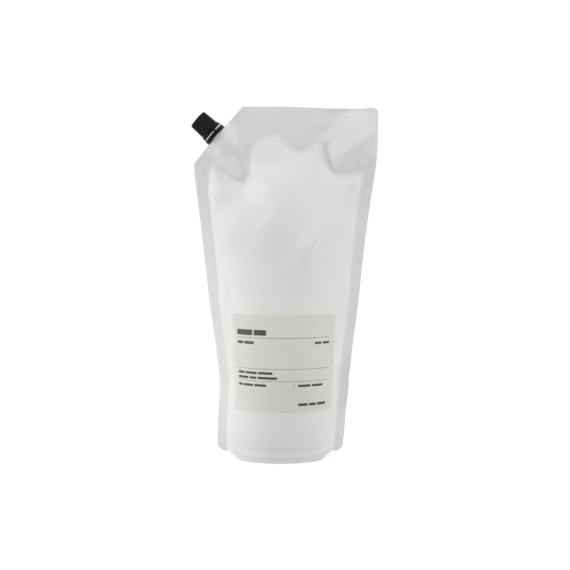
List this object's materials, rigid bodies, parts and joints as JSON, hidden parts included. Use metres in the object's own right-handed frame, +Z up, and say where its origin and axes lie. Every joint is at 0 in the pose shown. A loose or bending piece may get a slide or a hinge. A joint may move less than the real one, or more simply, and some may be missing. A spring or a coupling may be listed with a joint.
{
  "type": "soap refill pouch",
  "caption": "Filled stand-up film pouch of hand soap with a clipped corner spout, tamper band and ribbed screw cap, and a plain front label",
  "frame": {"origin": "the middle of the base, on the surface that the pack stands on", "axes": "+X to the right as seen from the label side, +Y from the label side to the back, +Z up"},
  "size_m": [0.152, 0.0842, 0.285],
  "materials": {
    "film": "satin white laminated film",
    "label": "matte printed film label",
    "spout_plastic": "natural moulded polyethylene",
    "cap_plastic": "satin black moulded plastic",
    "liner_foam": "foamed sealing disc"
  },
  "bodies": {
    "pack": {"pouch": "film", "front_label": "label", "spout": "spout_plastic", "tamper_band": "cap_plastic"},
    "liner": {"cap_liner": "liner_foam"},
    "cap": {"cap": "cap_plastic"}
  },
  "joints": [
    {"name": "cap_lift", "type": "slide", "parent": "pack", "child": "liner", "axis": [-0.7512, 0, 0.6601], "range_m": [0, 0.0145]},
    {"name": "cap_turn", "type": "hinge", "parent": "liner", "child": "cap", "pos_m": [-0.05394, 0, 0.26071], "axis": [-0.7512, 0, 0.6601], "range_deg": [0, 1620]}
  ],
  "couplings": [
    {"joint": "cap_lift", "follows": "cap_turn", "m_per_rad": 0.0005093}
  ]
}
